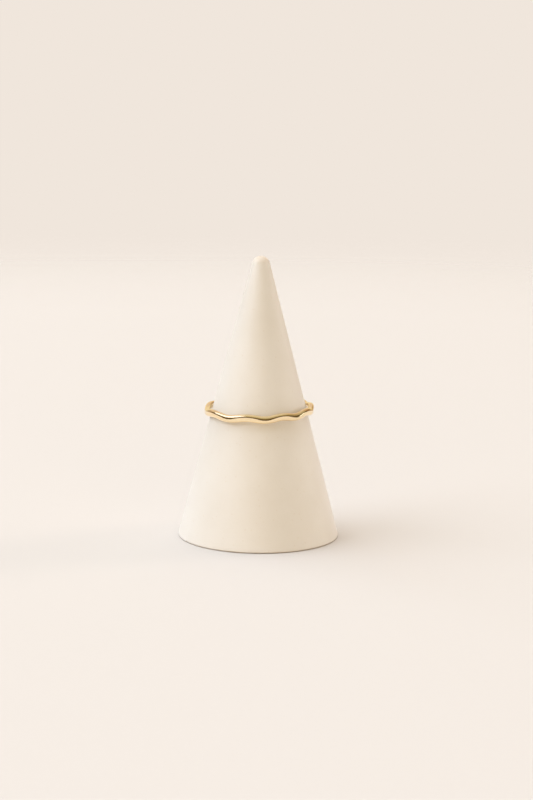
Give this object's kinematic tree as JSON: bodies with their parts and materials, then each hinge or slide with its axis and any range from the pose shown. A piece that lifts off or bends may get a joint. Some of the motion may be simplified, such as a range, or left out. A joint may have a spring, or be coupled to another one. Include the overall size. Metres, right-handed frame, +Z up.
{
  "type": "wavy band ring on cone ring stand",
  "caption": "Thin polished gold wire ring that rises and falls in soft waves, resting on a plain cream cone ring stand with a rounded tip and a flat foot.",
  "frame": {"origin": "centre of the stand's flat foot, at the bottom of the part", "axes": "+Z up along the cone's axis, -Y towards the picture's viewer, +X to the viewer's right"},
  "size_m": [0.0286, 0.0286, 0.05],
  "materials": {
    "polished_gold": "polished yellow gold with fine wear scratches",
    "cream_satin": "smooth satin cream glaze"
  },
  "bodies": {
    "root": {"ring_band": "polished_gold", "cone_stand": "cream_satin"}
  },
  "joints": []
}
